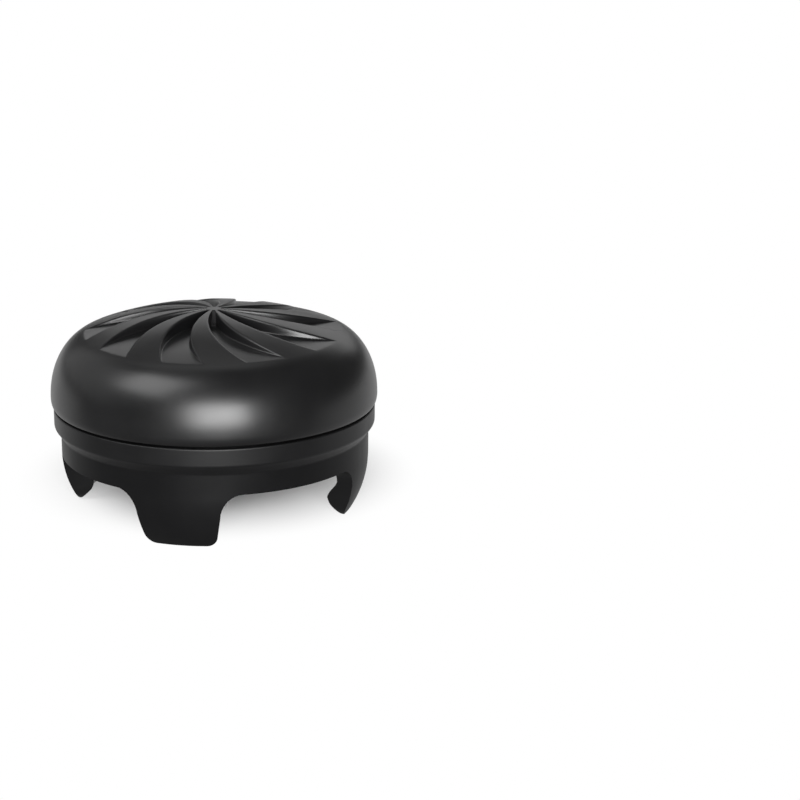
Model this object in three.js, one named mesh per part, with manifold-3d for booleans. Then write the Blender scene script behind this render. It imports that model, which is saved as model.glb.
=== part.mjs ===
// Clip-on thumb grip for the stick of a game controller, in millimetres, with +Z up.
// A domed rubber cap with a swirl of blades is bonded onto a hard clip base.
// The base's skirt slides over the round head of the stick, and its barbed claws
// snap in under the head's rim. The origin is midway between the claw tips, on the
// plane that they stand on.
import * as THREE from 'three';
import { mergeVertices } from 'three/addons/utils/BufferGeometryUtils.js';
import Module from 'manifold-3d';

const wasm = await Module();
wasm.setup();

// Stick head that the grip clips onto
const stickRadius = 9.85;
const stickClearance = 0.2;

// Clip base: skirt, chamfer, ring and plate
const skirtWall = 1.3;
const skirtHeight = 1.57;
const chamferDepth = 0.47;
const chamferHeight = 0.65;
const ringHeight = 1.3;
const ringEdge = 0.12;
const plateThickness = 1.3;

// Shadow groove at the parting line between base and cap
const grooveHeight = 0.16;
const grooveDepth = 0.65;

// Claws
const clawCount = 4;
const clawDrop = 4.1;
const clawWidth = 6.24;
const clawTipWidth = 5.82;
const clawCornerRadius = 0.87;
const clawRootRadius = 1.75;
const clawCurveHeight = 3.83;
const clawCurveInset = 1.1;
const clawTipLand = 0.1;
const clawFootRadius = 6.0;

// Barbs on the inside of the claws
const barbReach = 0.87;
const barbSlope = THREE.MathUtils.degToRad(43);
const barbNose = 0.45;
const barbShoulder = 0.95;

// Rubber cap
const capOverhang = 0.18;
const capEdgeInset = 0.12;
const capHeight = 6.85;
const bulgeHeight = 0.63;
const shoulderRadius = 9.58;
const shoulderLead = 1.35;
const bulgeLead = 2.34;
const domePower = 2.05;
const domeDrop = 1.67;

// Swirl of blades and recesses in the cap's top
const bladeCount = 10;
const swirlRadius = 9.45;
const hubRadius = 0.55;
const swirlTurn = THREE.MathUtils.degToRad(26);
const swirlPower = 1.4;
const swirlPhase = THREE.MathUtils.degToRad(10.1);
const recessDepth = 1.0;
const recessPower = 2;

// How finely round shapes are divided
const turnSegments = 72;
const arcSegments = 5;
const domeSegments = 8;
const shoulderSegments = 9;
const bladeSegments = 9;

// Length by which cutting and joining shapes run past what they meet
const overrun = 0.4;

// Sizes that follow from the ones above
const skirtInner = stickRadius + stickClearance;
const skirtOuter = skirtInner + skirtWall;
const ringRadius = skirtOuter + chamferDepth;
const seatRadius = ringRadius - grooveDepth;
const rimZ = clawDrop;
const chamferZ = rimZ + skirtHeight;
const ringZ = chamferZ + chamferHeight;
const ringTopZ = ringZ + ringHeight;
const seatZ = ringTopZ + grooveHeight;
const plateZ = seatZ - plateThickness;
const capRadius = ringRadius + capOverhang;
const capEdgeRadius = capRadius - capEdgeInset;
const hubZ = seatZ + capHeight;

// A closed mesh made into a solid that can be joined and cut
function solidOf(geometry) {
  const bare = geometry.clone();
  bare.deleteAttribute('normal');
  bare.deleteAttribute('uv');
  const merged = mergeVertices(bare);
  const corners = merged.index.array;
  const triangles = [];
  for (let i = 0; i < corners.length; i += 3) {
    const [a, b, c] = [corners[i], corners[i + 1], corners[i + 2]];
    if (a !== b && b !== c && c !== a) triangles.push(a, b, c);
  }
  const mesh = new wasm.Mesh({
    numProp: 3,
    vertProperties: new Float32Array(merged.attributes.position.array),
    triVerts: new Uint32Array(triangles),
  });
  return new wasm.Manifold(mesh);
}

// A solid made back into a three.js geometry
function geometryOf(solid) {
  const mesh = solid.getMesh();
  const geometry = new THREE.BufferGeometry();
  geometry.setAttribute('position', new THREE.BufferAttribute(new Float32Array(mesh.vertProperties), 3));
  geometry.setIndex(new THREE.BufferAttribute(new Uint32Array(mesh.triVerts), 1));
  geometry.computeVertexNormals();
  return geometry;
}

// A profile of [radius, height] points turned about +Z
function turned(profile) {
  const points = profile.map(([radius, height]) => new THREE.Vector2(radius, height));
  const geometry = new THREE.LatheGeometry(points, turnSegments);
  geometry.rotateX(Math.PI / 2);
  return solidOf(geometry);
}

// Solids joined into one
function joined(solids) {
  return solids.reduce((whole, next) => whole.add(next));
}

// Height of the smooth dome at a radius
function domeHeight(radius) {
  return hubZ - domeDrop * (radius / swirlRadius) ** domePower;
}

// Slope of the smooth dome at a radius, as rise over run
function domeSlope(radius) {
  return -domeDrop * domePower * (radius / swirlRadius) ** (domePower - 1) / swirlRadius;
}

// Height of the floor of a recess, which runs out into the dome at the swirl's edge
function floorHeight(radius) {
  return domeHeight(radius) - recessDepth * (1 - (radius / swirlRadius) ** recessPower);
}

// The cap before its swirl is cut: underside, wall, bulge, shoulder and dome
function capBody() {
  const bulge = new THREE.Vector2(capRadius, seatZ + bulgeHeight);
  const edge = new THREE.Vector2(capEdgeRadius, seatZ);
  const shoulder = new THREE.Vector2(shoulderRadius, domeHeight(shoulderRadius));
  const lead = new THREE.Vector2(1, domeSlope(shoulderRadius)).setLength(shoulderLead);
  const wallCurve = new THREE.QuadraticBezierCurve(
    edge,
    new THREE.Vector2(capRadius, seatZ + bulgeHeight / 2),
    bulge,
  );
  const shoulderCurve = new THREE.CubicBezierCurve(
    bulge,
    new THREE.Vector2(capRadius, bulge.y + bulgeLead),
    shoulder.clone().add(lead),
    shoulder,
  );
  const profile = [[0, seatZ]];
  for (const point of wallCurve.getPoints(arcSegments)) profile.push([point.x, point.y]);
  for (const point of shoulderCurve.getPoints(shoulderSegments).slice(1)) profile.push([point.x, point.y]);
  for (let i = domeSegments - 1; i >= 0; i -= 1) {
    const radius = shoulderRadius * i / domeSegments;
    profile.push([radius, domeHeight(radius)]);
  }
  return turned(profile);
}

// Space above the floors of all the recesses, before the blades divide it
function spaceAboveFloors() {
  const outer = swirlRadius + overrun;
  const profile = [];
  for (let i = 0; i <= domeSegments; i += 1) {
    const radius = outer * i / domeSegments;
    profile.push([radius, floorHeight(radius)]);
  }
  profile.push([outer, hubZ + overrun], [0, hubZ + overrun]);
  return turned(profile);
}

// Direction of a blade's edge at a radius, seen from above
function edgeAngle(start, radius) {
  return start - swirlTurn * (1 - (radius / swirlRadius) ** swirlPower);
}

// Upright prism over one recess, between the edges of two blades
function recessPrism(start) {
  const end = start + Math.PI / bladeCount;
  const outer = swirlRadius + overrun;
  const outline = [];
  for (let i = 0; i <= bladeSegments; i += 1) {
    const radius = hubRadius + (outer - hubRadius) * i / bladeSegments;
    const angle = edgeAngle(start, radius);
    outline.push(new THREE.Vector2(radius * Math.cos(angle), radius * Math.sin(angle)));
  }
  for (let i = bladeSegments; i >= 0; i -= 1) {
    const radius = hubRadius + (outer - hubRadius) * i / bladeSegments;
    const angle = edgeAngle(end, radius);
    outline.push(new THREE.Vector2(radius * Math.cos(angle), radius * Math.sin(angle)));
  }
  const shape = new THREE.Shape(outline);
  const geometry = new THREE.ExtrudeGeometry(shape, { depth: capHeight, bevelEnabled: false });
  geometry.translate(0, 0, hubZ + 2 * overrun - capHeight);
  return solidOf(geometry);
}

// The cap, with a recess cut between each two blades
function rubberCap() {
  const pitch = 2 * Math.PI / bladeCount;
  const prisms = [];
  for (let i = 0; i < bladeCount; i += 1) prisms.push(recessPrism(swirlPhase + i * pitch));
  const recesses = joined(prisms).intersect(spaceAboveFloors());
  return capBody().subtract(recesses);
}

// Seat, groove, ring, chamfer, skirt and plate, turned in one
function baseBody() {
  return turned([
    [0, plateZ],
    [skirtInner, plateZ],
    [skirtInner, rimZ],
    [skirtOuter, rimZ],
    [skirtOuter, chamferZ],
    [ringRadius, ringZ],
    [ringRadius, ringTopZ - ringEdge],
    [ringRadius - ringEdge, ringTopZ],
    [seatRadius, ringTopZ],
    [seatRadius, seatZ],
    [0, seatZ],
  ]);
}

// Section of a claw turned all the way round: outer curve, tip, barb and neck
function clawRing() {
  const topZ = rimZ + overrun;
  const tipRadius = skirtOuter - clawCurveInset;
  const barbRadius = skirtInner - barbReach;
  const footRadius = tipRadius - clawTipLand;
  const noseZ = (footRadius - barbRadius) * Math.tan(barbSlope);
  const curveRadius = (clawCurveHeight ** 2 + clawCurveInset ** 2) / (2 * clawCurveInset);
  const profile = [
    [skirtInner, topZ],
    [skirtInner, noseZ + barbNose + barbShoulder],
    [barbRadius, noseZ + barbNose],
    [barbRadius, noseZ],
    [footRadius, 0],
  ];
  for (let i = 0; i <= arcSegments; i += 1) {
    const height = clawCurveHeight * i / arcSegments;
    const fall = clawCurveHeight - height;
    profile.push([skirtOuter - curveRadius + Math.sqrt(curveRadius ** 2 - fall ** 2), height]);
  }
  profile.push([skirtOuter, topZ], [skirtInner, topZ]);
  return turned(profile);
}

// Outline of a claw seen from outside: straight sides, round corners, filleted roots
function clawOutline() {
  const half = clawWidth / 2;
  const tipHalf = clawTipWidth / 2;
  const rootZ = rimZ - clawRootRadius;
  const topZ = rimZ + 2 * overrun;
  const shape = new THREE.Shape();
  shape.moveTo(-half - clawRootRadius, topZ);
  shape.lineTo(-half - clawRootRadius, rimZ);
  shape.absarc(-half - clawRootRadius, rootZ, clawRootRadius, Math.PI / 2, 0, true);
  shape.lineTo(-tipHalf, clawCornerRadius);
  shape.absarc(-tipHalf + clawCornerRadius, clawCornerRadius, clawCornerRadius, Math.PI, 1.5 * Math.PI, false);
  shape.absarc(tipHalf - clawCornerRadius, clawCornerRadius, clawCornerRadius, 1.5 * Math.PI, 2 * Math.PI, false);
  shape.lineTo(half, rootZ);
  shape.absarc(half + clawRootRadius, rootZ, clawRootRadius, Math.PI, Math.PI / 2, true);
  shape.lineTo(half + clawRootRadius, topZ);
  shape.closePath();
  return shape;
}

// Upright wedge of a claw's outline, reaching outwards in one direction. Its sides point
// at the axis, and the outline's widths hold at the skirt's outer radius.
function clawWedge(direction) {
  const geometry = new THREE.ExtrudeGeometry(clawOutline(), {
    depth: ringRadius + overrun - clawFootRadius,
    bevelEnabled: false,
    curveSegments: arcSegments,
  });
  geometry.translate(0, 0, clawFootRadius);
  const points = geometry.attributes.position;
  for (let i = 0; i < points.count; i += 1) {
    points.setX(i, points.getX(i) * points.getZ(i) / skirtOuter);
  }
  geometry.rotateX(Math.PI / 2);
  geometry.rotateZ(direction);
  return solidOf(geometry);
}

// The clip base with its claws
function clipBase() {
  const ring = clawRing();
  const solids = [baseBody()];
  for (let i = 0; i < clawCount; i += 1) {
    solids.push(ring.intersect(clawWedge(2 * Math.PI * i / clawCount)));
  }
  return joined(solids);
}

// A named piece with its own material
function piece(name, solid, color, roughness) {
  const material = new THREE.MeshStandardMaterial({ color, roughness, metalness: 0 });
  const mesh = new THREE.Mesh(geometryOf(solid), material);
  mesh.name = name;
  return mesh;
}

const grip = new THREE.Group();
grip.add(piece('clip_base', clipBase(), 0x1d1d1e, 0.5));
grip.add(piece('rubber_cap', rubberCap(), 0x232324, 0.42));

export default grip;
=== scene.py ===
# A clip-on thumb grip for the stick of a game controller: a domed rubber cap with a
# swirl of blades in its top, on a hard clip base with four barbed claws.
# Lengths with a name in capitals are in millimetres, and meshes are in metres.
import math

import bmesh
import bpy
from mathutils import Matrix, Vector


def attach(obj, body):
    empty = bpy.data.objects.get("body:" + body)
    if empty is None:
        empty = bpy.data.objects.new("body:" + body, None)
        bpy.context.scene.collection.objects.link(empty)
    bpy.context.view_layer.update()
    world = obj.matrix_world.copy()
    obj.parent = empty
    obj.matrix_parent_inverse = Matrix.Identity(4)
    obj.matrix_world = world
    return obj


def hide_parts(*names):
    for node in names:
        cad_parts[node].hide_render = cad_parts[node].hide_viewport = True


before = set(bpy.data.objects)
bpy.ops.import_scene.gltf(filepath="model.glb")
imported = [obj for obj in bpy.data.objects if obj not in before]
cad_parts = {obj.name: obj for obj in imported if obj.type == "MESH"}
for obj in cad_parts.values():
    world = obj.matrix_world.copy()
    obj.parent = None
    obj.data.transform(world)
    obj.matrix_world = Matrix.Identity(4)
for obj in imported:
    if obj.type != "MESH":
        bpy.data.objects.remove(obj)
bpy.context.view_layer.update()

MM = 0.001

# Clip base
SKIRT_IN = 10.05
SKIRT_OUT = 11.35
RING_OUT = 11.82
SEAT_OUT = 11.17
RIM_Z = 4.1
CHAMFER_Z = 5.67
RING_Z = 6.32
RING_TOP_Z = 7.62
SEAT_Z = 7.78
PLATE_Z = 6.48
RING_EDGE = 0.09
RING_EDGE_STEPS = 3
EDGE_HOLD = 0.13
DISC_R = 0.5

# Claws
CLAW_COUNT = 4
CLAW_HALF = 3.12
CLAW_TIP_HALF = 2.91
CLAW_CORNER = 0.87
CLAW_ROOT = 1.75
CLAW_ROOT_END = CLAW_HALF + CLAW_ROOT
CLAW_CURVE_HEIGHT = 3.83
CLAW_CURVE_INSET = 1.1
CLAW_EDGE = 0.1
CLAW_EDGE_STEPS = 2
CLAW_EDGE_TOP = RIM_Z + 0.2
CLAW_EDGE_ANGLE = math.radians(50)
SMOOTH_ANGLE = math.radians(35)

# The band of columns and rows that half a claw and its part of the skirt are bent from
BAND_TOP = 4.6
BAND_COLUMNS = 28
BAND_ROWS = 36
TIP_COLUMNS = (0.0, 0.6, 1.2)
CORNER_STEPS = 6
SIDE_SHARES = (1 / 3, 2 / 3)
ROOT_STEPS = 8

# Inner side of a claw from its tip upwards: height above the tips and radius
BARB = [
    (0.0, 10.2),
    (0.85, 9.36),
    (1.04, 9.26),
    (1.2, 9.19),
    (1.36, 9.16),
    (1.52, 9.18),
    (1.7, 9.27),
    (2.05, 9.53),
    (2.3, 9.77),
    (2.45, 9.9),
    (2.6, 9.99),
    (2.8, 10.05),
]

# Rubber cap
CAP_OUT = 12.0
CAP_FOOT = 11.88
BULGE_HEIGHT = 0.63
BULGE_LEAD = 2.34
BULGE_STEPS = 4
SHOULDER_R = 9.58
SHOULDER_LEAD = 1.35
SHOULDER_STEPS = 16
HUB_Z = 14.63
DOME_DROP = 1.67
DOME_POWER = 2.05

# Round of the cap's foot, outwards and upwards from its edge, and rings on its underside
FOOT_ROUND = [(0.01, 0.1), (-0.04, 0.02), (-0.14, 0)]
UNDER_RINGS = [11.3, 8.0, DISC_R]

# Swirl
BLADES = 10
SWIRL_R = 9.45
SWIRL_TURN = math.radians(26.0)
SWIRL_POWER = 1.4
SWIRL_PHASE = math.radians(10.1)
RECESS_DEPTH = 1.0
RECESS_POWER = 2
SWIRL_RINGS = [9.32, 9.05, 8.65, 8.15, 7.6, 7.0, 6.4, 5.8, 5.2, 4.6, 4.0, 3.4, 2.85, 2.35, 1.9]

# Hub in the middle of the swirl, whose foot rises from the recesses
HUB_R = 0.55
HUB_EDGE = 0.04
HUB_FOOT_R = 1.2
HUB_RINGS = [1.5, 1.3, 1.15, 0.95, 0.75, 0.62]
HUB_DISC_R = 0.25
HUB_STILL_R = 0.3

# Outside the swirl, the columns spread evenly by this radius
EVEN_R = 10.2

# Rings of the cap that are lower than this belong to its foot and underside
CAP_FOOT_TOP = SEAT_Z + 0.5

# Inside this radius the columns draw closer, and a lift is at most this share of the depth
NARROW_R = 3.0
LIFT_SHARE = 0.3

# One recess and one blade across: turn in degrees, offset in mm, share of the depth, lift in mm
COLUMNS = [
    (0, 0.02, 1, 0.02),
    (0, 0.06, 1, 0),
    (0, 0.35, 1, 0),
    (6, 0, 1, 0),
    (9, 0, 1, 0),
    (12, 0, 1, 0),
    (18, -0.2, 1, 0),
    (18, -0.07, 1, 0),
    (18, -0.02, 1, 0),
    (18, 0.02, 0, -0.07),
    (18, 0.07, 0, 0),
    (18, 0.3, 0, 0),
    (24, 0, 0, 0),
    (27, 0, 0, 0),
    (30, 0, 0, 0),
    (36, -0.3, 0, 0),
    (36, -0.07, 0, 0),
    (36, -0.02, 0, -0.07),
]
COLUMN_COUNT = BLADES * len(COLUMNS)

# How near a point has to be to a ring, in radius and in height, and to the flat band's ends
NEAR_RADIUS = 0.01
NEAR_HEIGHT = 0.005
NEAR_END = 0.001

# Points closer than this are merged, in metres
MERGE = 0.00001

# Both materials: colour, and the slow unevenness that colour and gloss follow
MOULD_DARK = (0.0045, 0.0045, 0.0048, 1)
MOULD_LIGHT = (0.0065, 0.0065, 0.0068, 1)
UNEVEN_SCALE = 260.0
UNEVEN_DETAIL = 5.0
UNEVEN_LOW = 0.3
UNEVEN_HIGH = 0.7
GRAIN_DETAIL = 3.0

# Each material: gloss, sheen, and the size and height of its grain in mm
RUBBER = {"smooth": 0.31, "rough": 0.36, "specular": 0.5, "grain_size": 0.09, "grain_height": 0.002}
PLASTIC = {"smooth": 0.38, "rough": 0.44, "specular": 0.3, "grain_size": 0.12, "grain_height": 0.003}

# Share of the sheen that is left below the chamfer, as painted shade on the skirt and claws, and the
# heights where it changes
PAINTED_SHADE_SHARE = 0.45
PAINTED_SHADE_TOP = CHAMFER_Z - 0.15
PAINTED_SHADE_END = CHAMFER_Z + 0.1

# A floor that is white to the camera away from the piece, and takes its shadow near it
FLOOR_SIZE = 6.0
FLOOR_CENTRE = (-1.5, 6.0)
FLOOR_SHADOW = 6.0
FLOOR_WHITE = 16.0
FLOOR_GREY = 0.8
FLOOR_GLOW = 0.05
FLOOR_DIM = 0.2

# In reflections the floor is painted: dim in front of the piece as painted shade, and it grows white to
# the back
SHINE_FRONT = -15.0
SHINE_BESIDE = 2.0
SHINE_BACK = 220.0
SHINE_LEVEL = 0.62

# Light from all round
WORLD_LEVEL = 0.085

# Soft lamps: name, place, width, height and power
LAMP_TARGET = (0, 0, 9)
LAMPS = [
    ("lamp above", (-50, 110, 280), 200, 140, 0.05),
    ("lamp behind", (-10, 320, 135), 320, 110, 0.12),
    ("lamp front", (64, -221, 57), 150, 115, 0.9),
    ("lamp left", (-150, -145, 248), 200, 190, 0.56),
    ("lamp far left", (-270, 40, 150), 420, 220, 0.13),
]

# Camera: the photograph looks down by CAMERA_TILT, from the side CAMERA_SIDE. The offsets
# and the distance give the place of the parting line's middle in the camera's view.
FOCAL_PIXELS = 1800.0
PICTURE_PIXELS = 800.0
SENSOR_WIDTH = 36.0
CAMERA_TILT = math.radians(16.5)
CAMERA_SIDE = math.radians(8.4)
CAMERA_ROLL = math.radians(0.7)
OFFSET_X = -13.68
OFFSET_Y = 0.11
DISTANCE = 133.55
PARTING_Z = 7.7
CLIP_NEAR = 0.01
CLIP_FAR = 10.0


# Working by hand: selecting, opening and closing a piece
def select_only(piece):
    bpy.ops.object.select_all(action="DESELECT")
    bpy.context.view_layer.objects.active = piece
    piece.select_set(True)


def open_piece(piece):
    select_only(piece)
    bpy.ops.object.mode_set(mode="EDIT")


def close_piece(piece):
    bpy.ops.object.mode_set(mode="OBJECT")
    piece.select_set(False)


# Selects the points, edges or faces of an open piece that pass a test
def pick(piece, kind, test):
    bpy.ops.mesh.select_mode(type=kind)
    bpy.ops.mesh.select_all(action="DESELECT")
    mesh = bmesh.from_edit_mesh(piece.data)
    parts = {"EDGE": mesh.edges, "FACE": mesh.faces}[kind]
    for part in parts:
        if test(part):
            part.select_set(True)
    mesh.select_flush_mode()
    bmesh.update_edit_mesh(piece.data)


def turn_normals_out():
    bpy.ops.mesh.select_all(action="SELECT")
    bpy.ops.mesh.normals_make_consistent(inside=False)


def apply_modifier(piece, name):
    bpy.context.view_layer.objects.active = piece
    bpy.ops.object.modifier_apply(modifier=name)


def radius_of(point):
    return math.hypot(point.x, point.y) / MM


# A point given by its radius, its angle and its height
def turned_point(radius, angle, height):
    return Vector((radius * math.cos(angle), radius * math.sin(angle), height)) * MM


# Whether an edge lies on the ring of a radius and a height
def is_on_ring(edge, radius, height):
    return all(
        abs(radius_of(v.co) - radius) < NEAR_RADIUS and abs(v.co.z / MM - height) < NEAR_HEIGHT
        for v in edge.verts
    )


def pick_ring(piece, radius, height):
    pick(piece, "EDGE", lambda edge: is_on_ring(edge, radius, height))


# The selected ring is drawn out to the next ring of the profile
def draw_ring(ring, following):
    (radius, height), (next_radius, next_height) = ring, following
    bpy.ops.mesh.extrude_region()
    ratio = next_radius / radius
    bpy.ops.transform.resize(value=(ratio, ratio, 1), center_override=(0, 0, 0))
    bpy.ops.transform.translate(value=(0, 0, (next_height - height) * MM))


def draw_rings(profile):
    for ring, following in zip(profile, profile[1:]):
        draw_ring(ring, following)


# A profile with a holding ring near each end of its longer sides, which keeps its edges crisp
def with_holds(profile):
    held = [profile[0]]
    for ring, following in zip(profile, profile[1:]):
        start, end = Vector(ring), Vector(following)
        length = (end - start).length
        if length > 3 * EDGE_HOLD:
            held.append(tuple(start.lerp(end, EDGE_HOLD / length)))
            held.append(tuple(end.lerp(start, EDGE_HOLD / length)))
        held.append(following)
    return held


# Height of the dome at a radius, and its slope there
def dome(radius):
    return HUB_Z - DOME_DROP * (radius / SWIRL_R) ** DOME_POWER


def dome_slope(radius):
    return -DOME_DROP * DOME_POWER * (radius / SWIRL_R) ** (DOME_POWER - 1) / SWIRL_R


# Points along a curve that is pulled by its inner points
def curve(points, count):
    found = []
    for i in range(count + 1):
        t = i / count
        level = [Vector(p) for p in points]
        while len(level) > 1:
            level = [a.lerp(b, t) for a, b in zip(level, level[1:])]
        found.append((level[0].x, level[0].y))
    return found


# Rings of the cap from the swirl's edge over the shoulder and the bulge to the underside
def cap_profile(start):
    lead = Vector((1, dome_slope(SHOULDER_R))).normalized() * SHOULDER_LEAD
    shoulder = (SHOULDER_R, dome(SHOULDER_R))
    shoulder_lead = (shoulder[0] + lead.x, shoulder[1] + lead.y)
    bulge = (CAP_OUT, SEAT_Z + BULGE_HEIGHT)
    bulge_lead = (CAP_OUT, bulge[1] + BULGE_LEAD)
    wall_lead = (CAP_OUT, SEAT_Z + BULGE_HEIGHT / 2)
    rings = [start]
    rings += curve([shoulder, shoulder_lead, bulge_lead, bulge], SHOULDER_STEPS)
    rings += curve([bulge, wall_lead, (CAP_FOOT, SEAT_Z)], BULGE_STEPS)[1:-1]
    rings += [(CAP_FOOT + outwards, SEAT_Z + upwards) for outwards, upwards in FOOT_ROUND]
    rings += [(radius, SEAT_Z) for radius in UNDER_RINGS]
    return rings


# The cap: rings drawn out from the swirl's edge to the underside, and inwards to the hub
def make_cap():
    start = (SWIRL_R, dome(SWIRL_R))
    bpy.ops.object.select_all(action="DESELECT")
    bpy.ops.mesh.primitive_circle_add(
        vertices=COLUMN_COUNT, radius=SWIRL_R * MM, location=(0, 0, start[1] * MM)
    )
    cap = bpy.context.active_object
    cap.name = "domed_cap"
    select_only(cap)
    bpy.ops.object.transform_apply(location=True, rotation=True, scale=True)

    open_piece(cap)
    bpy.ops.mesh.select_all(action="SELECT")
    draw_rings(cap_profile(start))
    pick_ring(cap, *start)
    inner = [start] + [(radius, dome(radius)) for radius in SWIRL_RINGS + HUB_RINGS]
    inner += [(radius, HUB_Z) for radius in (HUB_R, HUB_R - HUB_EDGE, HUB_DISC_R)]
    draw_rings(inner)
    close_piece(cap)

    form_swirl(cap)
    smoothing = cap.modifiers.new("smoothing", "SUBSURF")
    smoothing.levels = 1
    smoothing.render_levels = 1
    apply_modifier(cap, "smoothing")

    open_piece(cap)
    middle = (SEAT_Z + HUB_Z) / 2
    pick(cap, "EDGE", lambda edge: edge.is_boundary and edge.verts[0].co.z / MM < middle)
    bpy.ops.mesh.edge_face_add()
    pick(cap, "EDGE", lambda edge: edge.is_boundary and edge.verts[0].co.z / MM > middle)
    bpy.ops.mesh.edge_face_add()
    turn_normals_out()
    close_piece(cap)
    for face in cap.data.polygons:
        face.use_smooth = True
    return cap


# Each ring of the cap's top is turned into the swirl, and the recesses are pressed down
def form_swirl(cap):
    pitch = 2 * math.pi / BLADES
    step = pitch / len(COLUMNS)
    for vertex in cap.data.vertices:
        radius = radius_of(vertex.co)
        height = vertex.co.z / MM
        if radius > EVEN_R or height < CAP_FOOT_TOP or radius < HUB_STILL_R:
            continue
        number = round(math.atan2(vertex.co.y, vertex.co.x) / step) % COLUMN_COUNT
        sector, column = divmod(number, len(COLUMNS))
        turn, offset, share, lift = COLUMNS[column]
        narrow = min(1.0, radius / NARROW_R)
        reach = min(radius, SWIRL_R) / SWIRL_R
        angle = SWIRL_PHASE + sector * pitch + math.radians(turn) + offset * narrow / radius
        angle -= SWIRL_TURN * (1 - reach**SWIRL_POWER)
        depth = RECESS_DEPTH * (1 - reach**RECESS_POWER)
        depth *= max(0.0, min(1.0, (radius - HUB_R) / (HUB_FOOT_R - HUB_R)))
        most = LIFT_SHARE * depth
        drop = depth * share - max(-most, min(most, lift * narrow))
        if radius > SWIRL_R + NEAR_RADIUS:
            even = SWIRL_PHASE + number * step
            share_even = (radius - SWIRL_R) / (EVEN_R - SWIRL_R)
            angle = angle + share_even * (even - angle)
        vertex.co = turned_point(radius, angle, height - drop)
    for vertex in cap.data.vertices:
        radius = radius_of(vertex.co)
        if radius > EVEN_R or vertex.co.z / MM < CAP_FOOT_TOP:
            angle = math.atan2(vertex.co.y, vertex.co.x) + SWIRL_PHASE
            vertex.co.x = radius * math.cos(angle) * MM
            vertex.co.y = radius * math.sin(angle) * MM


# Angles that divide a quarter turn
def quarter_turn(steps):
    return [math.radians(90 / steps * i) for i in range(steps + 1)]


# Height of the claw band's lower edge at each column, as [lateral, height]
def claw_edge_points():
    tip = CLAW_TIP_HALF - CLAW_CORNER
    root = RIM_Z - CLAW_ROOT
    points = [(lateral, 0.0) for lateral in TIP_COLUMNS]
    for t in quarter_turn(CORNER_STEPS):
        points.append((tip + CLAW_CORNER * math.sin(t), CLAW_CORNER * (1 - math.cos(t))))
    for t in SIDE_SHARES:
        lateral = CLAW_TIP_HALF + t * (CLAW_HALF - CLAW_TIP_HALF)
        points.append((lateral, CLAW_CORNER + t * (root - CLAW_CORNER)))
    for t in quarter_turn(ROOT_STEPS):
        points.append((CLAW_HALF + CLAW_ROOT * (1 - math.cos(t)), root + CLAW_ROOT * math.sin(t)))
    for i in range(1, BAND_COLUMNS - len(points) + 2):
        points.append((CLAW_ROOT_END + i, RIM_Z))
    return points


# Radius of the outer and inner side of the band at a height
def outer_radius(height):
    if height >= CLAW_CURVE_HEIGHT:
        return SKIRT_OUT
    bend = (CLAW_CURVE_HEIGHT**2 + CLAW_CURVE_INSET**2) / (2 * CLAW_CURVE_INSET)
    return SKIRT_OUT - bend + math.sqrt(bend**2 - (CLAW_CURVE_HEIGHT - height) ** 2)


def inner_radius(height):
    for (low, low_radius), (high, high_radius) in zip(BARB, BARB[1:]):
        if height <= high:
            return low_radius + (high_radius - low_radius) * (height - low) / (high - low)
    return SKIRT_IN


# A point of the flat band laid round the skirt, with the claw's sides pointing at the axis
def round_skirt(lateral, radius, height, last):
    angle = math.atan(min(lateral, CLAW_ROOT_END) / SKIRT_OUT)
    if lateral > CLAW_ROOT_END:
        share = (lateral - CLAW_ROOT_END) / (last - CLAW_ROOT_END)
        angle += share * (math.pi / CLAW_COUNT - angle)
    return turned_point(radius, angle, height)


# Half of one claw with its part of the skirt: a flat band, made thick and laid round
def make_half_claw():
    edge = claw_edge_points()
    last = edge[-1][0]
    bpy.ops.object.select_all(action="DESELECT")
    bpy.ops.mesh.primitive_grid_add(x_subdivisions=BAND_COLUMNS, y_subdivisions=BAND_ROWS, size=1)
    clip = bpy.context.active_object
    clip.name = "clip_with_claws"
    for vertex in clip.data.vertices:
        lateral, low = edge[round((vertex.co.x + 0.5) * BAND_COLUMNS)]
        share = vertex.co.y + 0.5
        vertex.co = (lateral, 0, low + (BAND_TOP - low) * share)
    open_piece(clip)
    bpy.ops.mesh.select_all(action="SELECT")
    bpy.ops.mesh.extrude_region()
    bpy.ops.transform.translate(value=(0, 1, 0))

    # The band's thickness is 1 here, so the faces between its two sides have their middle at 0.5
    def is_cut(face):
        centre = face.calc_center_median()
        is_at_end = centre.x < NEAR_END or centre.x > last - NEAR_END
        return round(2 * centre.y) == 1 and (centre.z > BAND_TOP - NEAR_END or is_at_end)

    pick(clip, "FACE", is_cut)
    bpy.ops.mesh.delete(type="ONLY_FACE")
    close_piece(clip)
    for vertex in clip.data.vertices:
        lateral, side, height = vertex.co
        radius = outer_radius(height) if side < 0.5 else inner_radius(height)
        vertex.co = round_skirt(lateral, radius, height, last)
    open_piece(clip)
    turn_normals_out()
    close_piece(clip)
    return clip


# Seat, ring and chamfer drawn out of the skirt's outer edge, and the plate out of its inner one
def add_ring_and_plate(clip):
    pick_ring(clip, SKIRT_OUT, BAND_TOP)
    outer = [
        (SKIRT_OUT, BAND_TOP),
        (SKIRT_OUT, CHAMFER_Z),
        (RING_OUT, RING_Z),
        (RING_OUT, RING_TOP_Z),
        (SEAT_OUT, RING_TOP_Z),
        (SEAT_OUT, SEAT_Z),
        (DISC_R, SEAT_Z),
    ]
    draw_rings(with_holds(outer))
    bpy.ops.mesh.edge_face_add()
    pick_ring(clip, SKIRT_IN, BAND_TOP)
    draw_rings(with_holds([(SKIRT_IN, BAND_TOP), (SKIRT_IN, PLATE_Z), (DISC_R, PLATE_Z)]))
    bpy.ops.mesh.edge_face_add()
    turn_normals_out()


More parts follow.
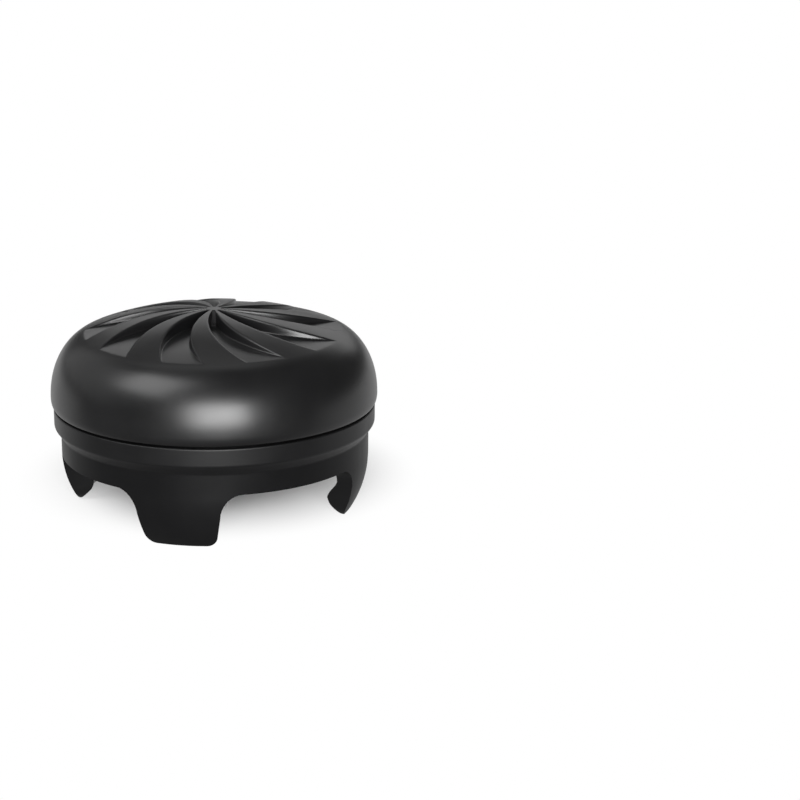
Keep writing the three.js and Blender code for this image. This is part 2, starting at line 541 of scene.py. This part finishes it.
# The edges of ring and chamfer are rounded, then those of the claws
def round_edges(clip):
    rings = [(RING_OUT, RING_Z), (RING_OUT, RING_TOP_Z), (SKIRT_OUT, CHAMFER_Z), (SKIRT_IN, PLATE_Z)]
    pick(clip, "EDGE", lambda edge: any(is_on_ring(edge, *ring) for ring in rings))
    bpy.ops.mesh.bevel(offset=RING_EDGE * MM, segments=RING_EDGE_STEPS, affect="EDGES")

    def is_claw_edge(edge):
        if len(edge.link_faces) != 2 or any(v.co.z / MM > CLAW_EDGE_TOP for v in edge.verts):
            return False
        return edge.calc_face_angle() > CLAW_EDGE_ANGLE

    pick(clip, "EDGE", is_claw_edge)
    bpy.ops.mesh.bevel(
        offset=CLAW_EDGE * MM, segments=CLAW_EDGE_STEPS, affect="EDGES", clamp_overlap=True
    )


# The base: half a claw, its other half, then four claws, and the ring and plate over them
def make_clip():
    clip = make_half_claw()
    mirror = clip.modifiers.new("other half", "MIRROR")
    mirror.use_axis = (False, True, False)
    mirror.merge_threshold = MERGE
    apply_modifier(clip, "other half")

    open_piece(clip)
    bpy.ops.mesh.select_all(action="SELECT")
    turn = 2 * math.pi / CLAW_COUNT
    bpy.ops.mesh.spin(
        steps=CLAW_COUNT - 1, dupli=True, angle=turn * (CLAW_COUNT - 1), center=(0, 0, 0), axis=(0, 0, 1)
    )
    bpy.ops.mesh.select_all(action="SELECT")
    bpy.ops.mesh.remove_doubles(threshold=MERGE)
    add_ring_and_plate(clip)
    round_edges(clip)
    close_piece(clip)
    select_only(clip)
    bpy.ops.object.shade_smooth_by_angle(angle=SMOOTH_ANGLE)
    clip.select_set(False)
    return clip


# Materials
def new_material(name):
    material = bpy.data.materials.new(name)
    material.use_nodes = True
    return material, material.node_tree.nodes, material.node_tree.links


def grey(level):
    return (level, level, level, 1)


# A node that maps a stretch of its input onto another stretch
def map_range(nodes, from_low, from_high, to_low=0.0, to_high=1.0, smooth=False):
    node = nodes.new("ShaderNodeMapRange")
    if smooth:
        node.interpolation_type = "SMOOTHSTEP"
    node.inputs["From Min"].default_value = from_low
    node.inputs["From Max"].default_value = from_high
    node.inputs["To Min"].default_value = to_low
    node.inputs["To Max"].default_value = to_high
    return node


# Moulded surface: a fine grain, slow unevenness, a colour and gloss that vary a little, and painted
# shade as less sheen below the chamfer
def moulded(name, smooth, rough, specular, grain_size, grain_height):
    material, nodes, links = new_material(name)
    shader = nodes["Principled BSDF"]
    place_at = nodes.new("ShaderNodeTexCoord")

    parts = nodes.new("ShaderNodeSeparateXYZ")
    links.new(place_at.outputs["Object"], parts.inputs["Vector"])
    # Painted shade: the sheen drops below the chamfer, so the skirt and claws look darker there
    low, full = PAINTED_SHADE_TOP * MM, PAINTED_SHADE_END * MM
    painted_shade_sheen = map_range(nodes, low, full, specular * PAINTED_SHADE_SHARE, specular, smooth=True)
    links.new(parts.outputs["Z"], painted_shade_sheen.inputs["Value"])
    links.new(painted_shade_sheen.outputs["Result"], shader.inputs["Specular IOR Level"])

    uneven = nodes.new("ShaderNodeTexNoise")
    uneven.inputs["Scale"].default_value = UNEVEN_SCALE
    uneven.inputs["Detail"].default_value = UNEVEN_DETAIL
    links.new(place_at.outputs["Object"], uneven.inputs["Vector"])

    grain = nodes.new("ShaderNodeTexNoise")
    grain.inputs["Scale"].default_value = 1 / MM / grain_size
    grain.inputs["Detail"].default_value = GRAIN_DETAIL
    links.new(place_at.outputs["Object"], grain.inputs["Vector"])

    tint = nodes.new("ShaderNodeValToRGB")
    tint.color_ramp.elements[0].position = UNEVEN_LOW
    tint.color_ramp.elements[0].color = MOULD_DARK
    tint.color_ramp.elements[1].position = UNEVEN_HIGH
    tint.color_ramp.elements[1].color = MOULD_LIGHT
    links.new(uneven.outputs["Fac"], tint.inputs["Fac"])
    links.new(tint.outputs["Color"], shader.inputs["Base Color"])

    gloss = map_range(nodes, UNEVEN_LOW, UNEVEN_HIGH, smooth, rough)
    links.new(uneven.outputs["Fac"], gloss.inputs["Value"])
    links.new(gloss.outputs["Result"], shader.inputs["Roughness"])

    bump = nodes.new("ShaderNodeBump")
    bump.inputs["Strength"].default_value = 1.0
    bump.inputs["Distance"].default_value = grain_height * MM
    links.new(grain.outputs["Fac"], bump.inputs["Height"])
    links.new(bump.outputs["Normal"], shader.inputs["Normal"])
    return material


# Two shaders mixed by a share
def mixed(nodes, links, share, first, second):
    mix = nodes.new("ShaderNodeMixShader")
    links.new(share, mix.inputs["Fac"])
    links.new(first, mix.inputs[1])
    links.new(second, mix.inputs[2])
    return mix.outputs["Shader"]


def plain_surface(nodes, level):
    surface = nodes.new("ShaderNodeBsdfDiffuse")
    surface.inputs["Color"].default_value = grey(level)
    return surface.outputs["BSDF"]


def plain_light(nodes, strength):
    light = nodes.new("ShaderNodeEmission")
    light.inputs["Color"].default_value = grey(1)
    light.inputs["Strength"].default_value = strength
    return light.outputs["Emission"]


def white_floor():
    material, nodes, links = new_material("white floor")
    nodes.remove(nodes["Principled BSDF"])
    place_at = nodes.new("ShaderNodeTexCoord").outputs["Object"]
    rays = nodes.new("ShaderNodeLightPath")
    white = plain_light(nodes, 1.0)

    # What the camera sees: the shadow near the piece, and white farther away
    shadowed = nodes.new("ShaderNodeAddShader")
    links.new(plain_surface(nodes, FLOOR_GREY), shadowed.inputs[0])
    links.new(plain_light(nodes, FLOOR_GLOW), shadowed.inputs[1])
    away = nodes.new("ShaderNodeVectorMath")
    away.operation = "DISTANCE"
    away.inputs[1].default_value = (FLOOR_CENTRE[0] * MM, FLOOR_CENTRE[1] * MM, 0)
    links.new(place_at, away.inputs[0])
    far = map_range(nodes, FLOOR_SHADOW * MM, FLOOR_WHITE * MM, smooth=True)
    links.new(away.outputs["Value"], far.inputs["Value"])
    seen = mixed(nodes, links, far.outputs["Result"], shadowed.outputs["Shader"], white)

    # What the piece mirrors: painted shade, dim in front, and whiter to the back
    parts = nodes.new("ShaderNodeSeparateXYZ")
    links.new(place_at, parts.inputs["Vector"])
    behind = map_range(nodes, SHINE_FRONT * MM, SHINE_BACK * MM)
    links.new(parts.outputs["Y"], behind.inputs["Value"])
    rise = nodes.new("ShaderNodeValToRGB")
    rise.color_ramp.elements[0].color = grey(0)
    rise.color_ramp.elements[1].color = grey(1)
    beside = rise.color_ramp.elements.new((SHINE_BESIDE - SHINE_FRONT) / (SHINE_BACK - SHINE_FRONT))
    beside.color = grey(SHINE_LEVEL)
    links.new(behind.outputs["Result"], rise.inputs["Fac"])
    shine = nodes.new("ShaderNodeMath")
    shine.operation = "MULTIPLY"
    links.new(rise.outputs["Color"], shine.inputs[0])
    links.new(rays.outputs["Is Glossy Ray"], shine.inputs[1])
    dim = plain_surface(nodes, FLOOR_DIM)
    mirrored = mixed(nodes, links, shine.outputs["Value"], dim, white)

    look = mixed(nodes, links, rays.outputs["Is Camera Ray"], mirrored, seen)
    links.new(look, nodes["Material Output"].inputs["Surface"])
    return material


# A white backdrop to the camera, and a low even light to the piece
def make_world():
    world = bpy.data.worlds.new("studio")
    bpy.context.scene.world = world
    world.use_nodes = True
    nodes, links = world.node_tree.nodes, world.node_tree.links
    background = nodes["Background"]
    background.inputs["Color"].default_value = grey(1)
    rays = nodes.new("ShaderNodeLightPath")
    level = map_range(nodes, 0.0, 1.0, WORLD_LEVEL, 1.0)
    links.new(rays.outputs["Is Camera Ray"], level.inputs["Value"])
    links.new(level.outputs["Result"], background.inputs["Strength"])


# A soft lamp at a place, aimed at the piece
def soft_lamp(name, place_at, width, height, power):
    data = bpy.data.lights.new(name, "AREA")
    data.shape = "RECTANGLE"
    data.size = width * MM
    data.size_y = height * MM
    data.energy = power
    lamp = bpy.data.objects.new(name, data)
    bpy.context.scene.collection.objects.link(lamp)
    lamp.location = Vector(place_at) * MM
    direction = (Vector(LAMP_TARGET) - Vector(place_at)).normalized()
    lamp.rotation_mode = "QUATERNION"
    lamp.rotation_quaternion = direction.to_track_quat("-Z", "Y")


def make_camera():
    across = Vector((math.cos(CAMERA_SIDE), math.sin(CAMERA_SIDE), 0))
    ahead = Vector((-math.sin(CAMERA_SIDE), math.cos(CAMERA_SIDE), 0))
    up = Vector((0, 0, 1))
    forward = ahead * math.cos(CAMERA_TILT) - up * math.sin(CAMERA_TILT)
    down = -ahead * math.sin(CAMERA_TILT) - up * math.cos(CAMERA_TILT)
    centre = up * PARTING_Z - across * OFFSET_X - down * OFFSET_Y - forward * DISTANCE
    right = across * math.cos(CAMERA_ROLL) - down * math.sin(CAMERA_ROLL)
    below = across * math.sin(CAMERA_ROLL) + down * math.cos(CAMERA_ROLL)
    data = bpy.data.cameras.new("camera")
    data.sensor_width = SENSOR_WIDTH
    data.lens = FOCAL_PIXELS * SENSOR_WIDTH / PICTURE_PIXELS
    data.clip_start = CLIP_NEAR
    data.clip_end = CLIP_FAR
    camera = bpy.data.objects.new("camera", data)
    bpy.context.scene.collection.objects.link(camera)
    turning = Matrix((right, -below, -forward)).transposed().to_4x4()
    camera.matrix_world = Matrix.Translation(centre * MM) @ turning
    bpy.context.scene.camera = camera


make_camera()
cap = make_cap()
clip = make_clip()
cap.data.materials.append(moulded("satin black rubber", **RUBBER))
clip.data.materials.append(moulded("matte black plastic", **PLASTIC))

for piece, node, slot in ((cap, "rubber_cap", "cap_rubber"), (clip, "clip_base", "base_plastic")):
    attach(piece, "root")
    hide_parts(node)

bpy.ops.object.select_all(action="DESELECT")
bpy.ops.mesh.primitive_plane_add(size=FLOOR_SIZE, location=(0, 0, 0))
floor = bpy.context.active_object
floor.name = "floor"
floor.data.materials.append(white_floor())

make_world()
for lamp in LAMPS:
    soft_lamp(*lamp)

view = bpy.context.scene.view_settings
view.view_transform = "Standard"
